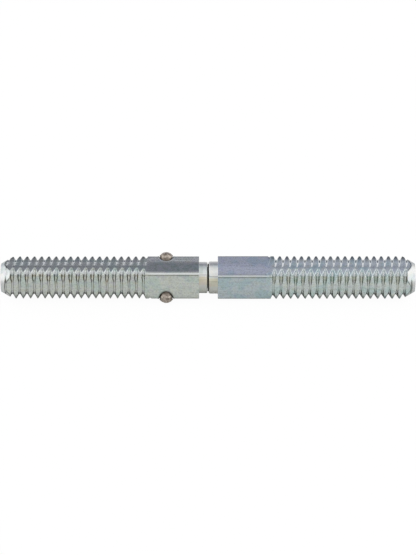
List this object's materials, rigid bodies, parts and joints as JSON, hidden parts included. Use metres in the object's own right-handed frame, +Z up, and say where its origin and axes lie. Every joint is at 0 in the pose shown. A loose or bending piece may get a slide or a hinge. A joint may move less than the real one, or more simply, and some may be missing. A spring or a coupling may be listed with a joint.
{
  "type": "threaded swivel stud",
  "caption": "Square-bar stud in two threaded halves, joined end to end by a pinned swivel so that each half can be screwed in or out by itself.",
  "frame": {"origin": "on the axis, in the middle of the running gap between the two halves, which is the middle of the whole part", "axes": "+X along the stud towards the tip of the swivel half, +Z up, square to a flat of the swivel half"},
  "size_m": [0.0904, 0.0096, 0.0084],
  "materials": {
    "zinc_plated_steel": "bright zinc plating with faint blue and green tints, satin",
    "bare_steel": "hammered bare steel, lightly browned"
  },
  "bodies": {
    "pinned_body": {"pinned_half": "zinc_plated_steel", "upper_stop_pin": "bare_steel", "lower_stop_pin": "bare_steel"},
    "swivel_body": {"swivel_half": "zinc_plated_steel"}
  },
  "joints": [
    {"name": "swivel", "type": "hinge", "parent": "pinned_body", "child": "swivel_body", "pos_m": [0, 0, 0], "axis": [1, 0, 0], "continuous": true}
  ]
}
